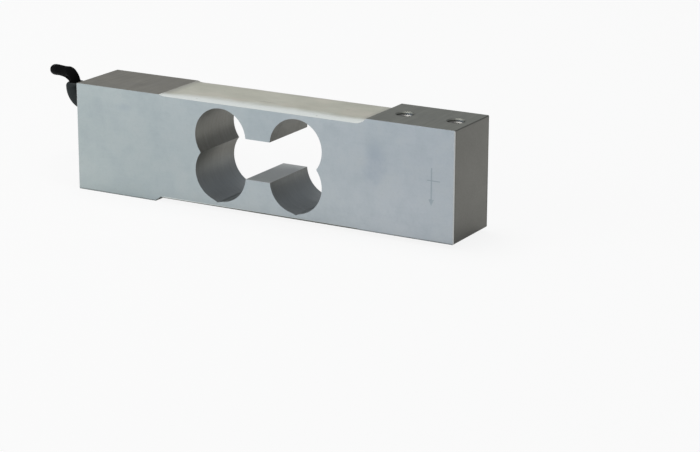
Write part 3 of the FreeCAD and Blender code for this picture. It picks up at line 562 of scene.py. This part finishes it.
def patch(tree, place, centre, size, softness):
    """1 inside an upright ellipsoid, falling to 0 at its rim. Sizes in millimetres."""
    vector = node(tree, "VectorMath", {"operation": "SUBTRACT"}, _0=place,
                  _1=mm(centre)).outputs[0]
    vector = node(tree, "VectorMath", {"operation": "DIVIDE"}, _0=vector, _1=mm(size)).outputs[0]
    away = node(tree, "VectorMath", {"operation": "LENGTH"}, _0=vector).outputs["Value"]
    return spread(tree, away, 1 - softness, 1.0, 1.0, 0.0)


def aluminium_finish():
    """Satin alloy: side faces ground pale and mottled; top and ends left from the cutter and
    painted darker, partly for that finish and partly as painted shade.
    """
    made, tree = material("milled_aluminium")
    place = object_place(tree)
    parts = node(tree, "SeparateXYZ", Vector=place)
    facing = node(tree, "SeparateXYZ", Vector=node(tree, "NewGeometry").outputs["True Normal"])
    turned_x, turned_y, turned_z = (calc(tree, "ABSOLUTE", facing.outputs[axis], 0.0)
                                    for axis in range(3))
    side = spread(tree, turned_y, 0.85, 0.95, 0.0, 1.0)
    end_face = spread(tree, turned_x, 0.97, 0.99, 0.0, 1.0)
    level = spread(tree, turned_z, 0.99, 0.999, 0.0, 1.0)
    broad = noise(tree, place, 28, 3, 0.5)
    cloud = noise(tree, place, 110, 5, 0.62)
    fine = noise(tree, place, 1100, 3, 0.6)
    grain = noise(tree, stretched(tree, place, (120, 1400, 1400)), 1, 2, 0.5)
    cutter = noise(tree, stretched(tree, place, (900, 60, 900)), 1, 3, 0.6)
    milled = noise(tree, stretched(tree, place, (70, 1300, 70)), 1, 3, 0.6)

    pale = blend(tree, spread(tree, broad, 0.35, 0.65, 0, 1), (0.432, 0.482, 0.500, 1),
                 (0.476, 0.520, 0.536, 1))
    # The grinding leaves it a little greener at the fixed end and bluer at the loaded one.
    towards_load = spread(tree, parts.outputs[0], -0.07, 0.06, 0.0, 1.0)
    tint = blend(tree, towards_load, (0.99, 1.01, 0.985, 1), (1.0, 0.99, 1.03, 1))
    pale = blend(tree, 1.0, pale, tint, "MULTIPLY")
    pale = blend(tree, spread(tree, cloud, 0.48, 0.70, 0.0, 0.38), pale, (0.36, 0.41, 0.44, 1))
    pale = blend(tree, spread(tree, cloud, 0.50, 0.30, 0.0, 0.30), pale, (0.52, 0.55, 0.555, 1))
    # Each broad side is a little brighter towards its lower edge.
    lower = spread(tree, parts.outputs[2], 0.024, 0.004, 0.0, 1.0)
    pale = blend(tree, lower, pale, (1.085, 1.075, 1.065, 1), "MULTIPLY")
    # A handled, slightly stained area on each broad side, near the loaded end.
    stain = patch(tree, place, (45.5, 0, 24.5), (5.8, 40, 10.0), 0.85)
    smudge = patch(tree, place, (-55, 0, 32), (4.5, 40, 2.0), 0.9)
    stain = calc(tree, "MAXIMUM", stain, calc(tree, "MULTIPLY", smudge, 0.6))
    stain = calc(tree, "MULTIPLY", stain, spread(tree, cloud, 0.35, 0.6, 0.2, 1.0))
    pale = blend(tree, calc(tree, "MULTIPLY", stain, 0.6), pale, (0.29, 0.34, 0.42, 1))
    # Painted shade: a thin dark line along the lower edge of each broad side, where its chamfer
    # falls in shadow.
    low = spread(tree, parts.outputs[0], -0.0421, -0.0400, 0.0, 0.0015)
    above = calc(tree, "SUBTRACT", parts.outputs[2], low)
    painted_lower_edge_shade = spread(tree, calc(tree, "ADD", above, calc(tree, "MULTIPLY", cloud, 0.0002)),
                  0.00015, 0.00055, 0.85, 0.0)
    pale = blend(tree, painted_lower_edge_shade, pale, (0.06, 0.065, 0.055, 1))

    streaks = spread(tree, cutter, 0.3, 0.7, 0, 1)
    browner = blend(tree, streaks, (0.285, 0.272, 0.240, 1), (0.345, 0.332, 0.296, 1))
    greener = blend(tree, streaks, (0.238, 0.244, 0.220, 1), (0.300, 0.305, 0.275, 1))
    dark = blend(tree, spread(tree, parts.outputs[0], -0.02, 0.03, 0.0, 1.0), browner, greener)
    dark = blend(tree, spread(tree, cloud, 0.55, 0.75, 0.0, 0.35), dark, (0.20, 0.20, 0.185, 1))
    # Painted shade in part: the end faces are darker still than the top.
    plain_end = blend(tree, spread(tree, broad, 0.4, 0.6, 0, 1), (0.262, 0.256, 0.232, 1),
                      (0.286, 0.280, 0.255, 1))
    # The end faces are darker beside their upright corners.
    beside = spread(tree, calc(tree, "ABSOLUTE", parts.outputs[1], 0.0), 0.0112, 0.0122, 0.0, 0.45)
    plain_end = blend(tree, beside, plain_end, (0.10, 0.10, 0.09, 1))
    dark = blend(tree, end_face, dark, plain_end)
    # The bores are turned round their own lines. Painted reflection and shade: their lower walls
    # are painted pale and bluish, their upper walls darker and browner, and the slot's flat faces
    # are painted bright.
    window = patch(tree, place, (0, 0, 20), (38, 80, 21), 0.02)
    turned_marks = spread(tree, milled, 0.3, 0.7, 0, 1)
    upper_bore_painted_shade = blend(tree, turned_marks, (0.265, 0.260, 0.235, 1), (0.310, 0.305, 0.280, 1))
    bright = blend(tree, turned_marks, (0.345, 0.370, 0.380, 1), (0.400, 0.425, 0.435, 1))
    bored = blend(tree, spread(tree, parts.outputs[2], 0.006, 0.017, 1.0, 0.0), upper_bore_painted_shade, bright)
    bored = blend(tree, level, bored, (0.70, 0.72, 0.71, 1))
    dark = blend(tree, window, dark, bored)
    # Painted reflection: the two ramps are painted bright, for the white floor they face.
    ramp_painted_reflection = spread(tree, calc(tree, "MULTIPLY", turned_x, turned_z), 0.12, 0.2, 0.0, 1.0)
    inner = spread(tree, calc(tree, "ABSOLUTE", parts.outputs[0], 0.0), 0.0425, 0.0440, 1.0, 0.0)
    outer = spread(tree, calc(tree, "ABSOLUTE", parts.outputs[0], 0.0), 0.0370, 0.0375, 0.0, 1.0)
    ramp_painted_reflection = calc(tree, "MULTIPLY", ramp_painted_reflection, calc(tree, "MULTIPLY", inner, outer))
    dark = blend(tree, ramp_painted_reflection, dark, (0.86, 0.86, 0.83, 1))
    # Painted highlight: a bright line painted on the upright corners. The corners where an end
    # meets the top are darker.
    upright_corner_painted_highlight = spread(tree, calc(tree, "MULTIPLY", turned_x, turned_y), 0.42, 0.48, 0.0, 1.0)
    top_end_corner_darker = spread(tree, calc(tree, "MULTIPLY", turned_x, turned_z), 0.42, 0.48, 0.0, 1.0)
    around = spread(tree, calc(tree, "ABSOLUTE", parts.outputs[0], 0.0), 0.0740, 0.0745, 0.0, 1.0)
    upright_corner_painted_highlight = calc(tree, "MULTIPLY", upright_corner_painted_highlight, around)
    dark = blend(tree, upright_corner_painted_highlight, dark, (0.82, 0.83, 0.81, 1))
    dark = blend(tree, calc(tree, "MULTIPLY", top_end_corner_darker, around), dark, (0.20, 0.20, 0.18, 1))

    # Painted shade in part: the top, ends and bores take the darker colour, the broad sides the
    # pale one.
    base = blend(tree, side, dark, pale)
    base = blend(tree, spread(tree, fine, 0.5, 0.75, 0.0, 0.08), base, (0.45, 0.48, 0.50, 1),
                 "MULTIPLY")
    rough = calc(tree, "ADD", spread(tree, cloud, 0.3, 0.7, 0.42, 0.50),
                 spread(tree, grain, 0.3, 0.7, -0.04, 0.04))
    height = calc(tree, "ADD", calc(tree, "MULTIPLY", grain, 0.35),
                  calc(tree, "MULTIPLY", fine, 0.3))
    height = calc(tree, "ADD", height, calc(tree, "MULTIPLY", milled, 0.35))
    shader = node(tree, "BsdfPrincipled", Base_Color=base, Roughness=rough,
                  Metallic=blend_value(tree, upright_corner_painted_highlight, 0.9, 0.3), Normal=bump(tree, height, 0.025))
    out(tree, shader.outputs[0])
    return made


def silicone_finish():
    """Cast silicone: beige; paler and shinier at its near rim, where a highlight is painted too;
    painted shade on its far rim and along its lower rim underneath; grey where it is thin.
    """
    made, tree = material("beige_silicone")
    place = object_place(tree)
    parts = node(tree, "SeparateXYZ", Vector=place)
    cloud = noise(tree, stretched(tree, place, (50, 90, 90)), 1, 5, 0.6)
    fine = noise(tree, place, 900, 3, 0.6)
    warm = noise(tree, place, 75, 3, 0.5)
    base = blend(tree, spread(tree, cloud, 0.32, 0.68, 0, 1), (0.445, 0.445, 0.375, 1),
                 (0.575, 0.570, 0.490, 1))
    base = blend(tree, spread(tree, warm, 0.50, 0.70, 0.0, 0.5), base, (0.60, 0.55, 0.48, 1))
    along = calc(tree, "ABSOLUTE", parts.outputs[0], 0.0)
    # Thin ends, where the metal shows through.
    thin = spread(tree, calc(tree, "ADD", along, calc(tree, "MULTIPLY", cloud, 0.004)),
                  0.0385, 0.0415, 0.0, 0.55)
    base = blend(tree, thin, base, (0.27, 0.27, 0.25, 1))
    # The rolled rim on the near side grows wider away from the fixed end. It is painted pale,
    # partly as a paler, glossier film and partly as a painted highlight.
    inside = calc(tree, "ADD", parts.outputs[1], 0.0125)
    width = spread(tree, parts.outputs[0], -0.042, -0.020, 0.0030, 0.0070)
    width = calc(tree, "MULTIPLY", width, spread(tree, cloud, 0.3, 0.7, 0.7, 1.3))
    rim = calc(tree, "DIVIDE", inside, width)
    rim = spread(tree, rim, 0.35, 1.0, 1.0, 0.0)
    base = blend(tree, calc(tree, "MULTIPLY", rim, 0.94), base, (0.84, 0.88, 0.86, 1))
    # Painted shade: the far rim, which rolls away from the light, is painted darker.
    far_rim_painted_shade = spread(tree, parts.outputs[1], 0.0118, 0.0124, 0.0, 0.6)
    base = blend(tree, far_rim_painted_shade, base, (0.24, 0.22, 0.17, 1))
    # Painted shade: the fill's upright faces on the underside are painted dark along their lower
    # rim, next to the floor.
    sides = node(tree, "SeparateXYZ", Vector=node(tree, "NewGeometry").outputs["True Normal"])
    upright = spread(tree, calc(tree, "ABSOLUTE", sides.outputs[1], 0.0), 0.6, 0.8, 0.0, 1.0)
    limit = spread(tree, parts.outputs[0], -0.036, 0.0, 0.00166, 0.00188)
    underside_rim_painted_shade = spread(tree, calc(tree, "SUBTRACT", parts.outputs[2], limit), 0.0, 0.0001, 0.92, 0.0)
    base = blend(tree, calc(tree, "MULTIPLY", underside_rim_painted_shade, upright), base, (0.06, 0.065, 0.055, 1))
    # A few marks left by the spatula and by dust.
    streak = patch(tree, place, (-1.8, -3.3, 38.5), (5.6, 0.5, 4), 0.7)
    base = blend(tree, calc(tree, "MULTIPLY", streak, 0.55), base, (0.22, 0.22, 0.19, 1))
    dust = spread(tree, noise(tree, place, 420, 2, 0.5), 0.70, 0.76, 0.0, 0.4)
    base = blend(tree, dust, base, (0.25, 0.24, 0.20, 1))
    rough = blend_value(tree, rim, 0.42, 0.26)
    height = calc(tree, "ADD", calc(tree, "MULTIPLY", cloud, 1.0),
                  calc(tree, "MULTIPLY", fine, 0.12))
    shader = node(tree, "BsdfPrincipled", Base_Color=base, Roughness=rough,
                  Normal=bump(tree, height, 0.08))
    out(tree, shader.outputs[0])
    return made


def plain_finish(name, colour, roughness, metallic=0.0, grain_scale=700, grain_depth=0.02,
                 variation=0.12, gloss=0.5):
    """A moulded, cast or drawn surface: colour that varies a little, and a fine grain."""
    made, tree = material(name)
    place = object_place(tree)
    cloud = noise(tree, place, grain_scale / 8, 4, 0.6)
    fine = noise(tree, place, grain_scale, 3, 0.6)
    darker = tuple(c * (1 - variation) for c in colour) + (1,)
    lighter = tuple(min(c * (1 + variation), 1) for c in colour) + (1,)
    base = blend(tree, spread(tree, cloud, 0.3, 0.7, 0, 1), darker, lighter)
    rough = spread(tree, fine, 0.3, 0.7, max(roughness - 0.06, 0), roughness + 0.06)
    shader = node(tree, "BsdfPrincipled", Base_Color=base, Metallic=metallic, Roughness=rough,
                  Specular_IOR_Level=gloss, Normal=bump(tree, fine, grain_depth))
    out(tree, shader.outputs[0])
    return made


FINISHES = {
    "aluminium": aluminium_finish(),
    "silicone": silicone_finish(),
    "boot_rubber": plain_finish("boot_rubber", (0.013, 0.018, 0.019), 0.60, grain_scale=1500,
                                grain_depth=0.02, variation=0.25, gloss=0.25),
    "cable_jacket": plain_finish("black_jacket", (0.003, 0.003, 0.0033), 0.72, grain_scale=1200,
                                 grain_depth=0.012, variation=0.3, gloss=0.03),
    "heat_shrink": plain_finish("heat_shrink", (0.012, 0.012, 0.013), 0.5, grain_scale=1800),
    "nylon": plain_finish("natural_nylon", (0.70, 0.69, 0.64), 0.4, grain_scale=900),
    "lead_red": plain_finish("red_lead", (0.50, 0.02, 0.015), 0.35),
    "lead_black": plain_finish("black_lead", (0.012, 0.012, 0.012), 0.35),
    "lead_green": plain_finish("green_lead", (0.01, 0.20, 0.05), 0.35),
    "lead_white": plain_finish("white_lead", (0.72, 0.72, 0.69), 0.35),
    "tinned_copper": plain_finish("tinned_copper", (0.62, 0.61, 0.58), 0.35, 1.0),
    "etched_mark": plain_finish("etched_mark", (0.365, 0.415, 0.450), 0.5, 0.9),
    "thread": plain_finish("thread_crests", (0.36, 0.355, 0.34), 0.42, 1.0),
    "brass": plain_finish("brass", (0.62, 0.45, 0.18), 0.3, 1.0),
    "gauge_film": plain_finish("amber_film", (0.55, 0.30, 0.08), 0.35),
    "gauge_foil": plain_finish("gauge_foil", (0.60, 0.56, 0.50), 0.35, 1.0),
    "nickel_foil": plain_finish("nickel_foil", (0.62, 0.58, 0.52), 0.35, 1.0),
    "circuit_board": plain_finish("circuit_board", (0.04, 0.20, 0.07), 0.45),
    "resistor_ceramic": plain_finish("resistor_ceramic", (0.02, 0.02, 0.022), 0.3),
    "enamelled_wire": plain_finish("enamelled_wire", (0.40, 0.13, 0.04), 0.3, 0.6),
    "core_insulation": plain_finish("core_insulation", (0.35, 0.05, 0.03), 0.35),
}
slots = {row["node"]: row["material_slot"] for row in frame["record"]["subparts"]}
for name, thing in frame["nodes"].items():
    thing.data.materials.clear()
    thing.data.materials.append(FINISHES[slots[name]])
cable.data.materials.append(FINISHES["cable_jacket"])
for colour, lead, tip in zip(LEAD_COLOURS, leads, tips):
    lead.data.materials.append(FINISHES[f"lead_{colour}"])
    tip.data.materials.append(FINISHES["tinned_copper"])
sleeve.data.materials.append(FINISHES["heat_shrink"])
for tie in ties:
    tie.data.materials.append(FINISHES["nylon"])
for silicone in silicones:
    silicone.data.materials.append(FINISHES["silicone"])
arrow.data.materials.append(FINISHES["etched_mark"])
for thread in threads:
    thread.data.materials.append(FINISHES["thread"])
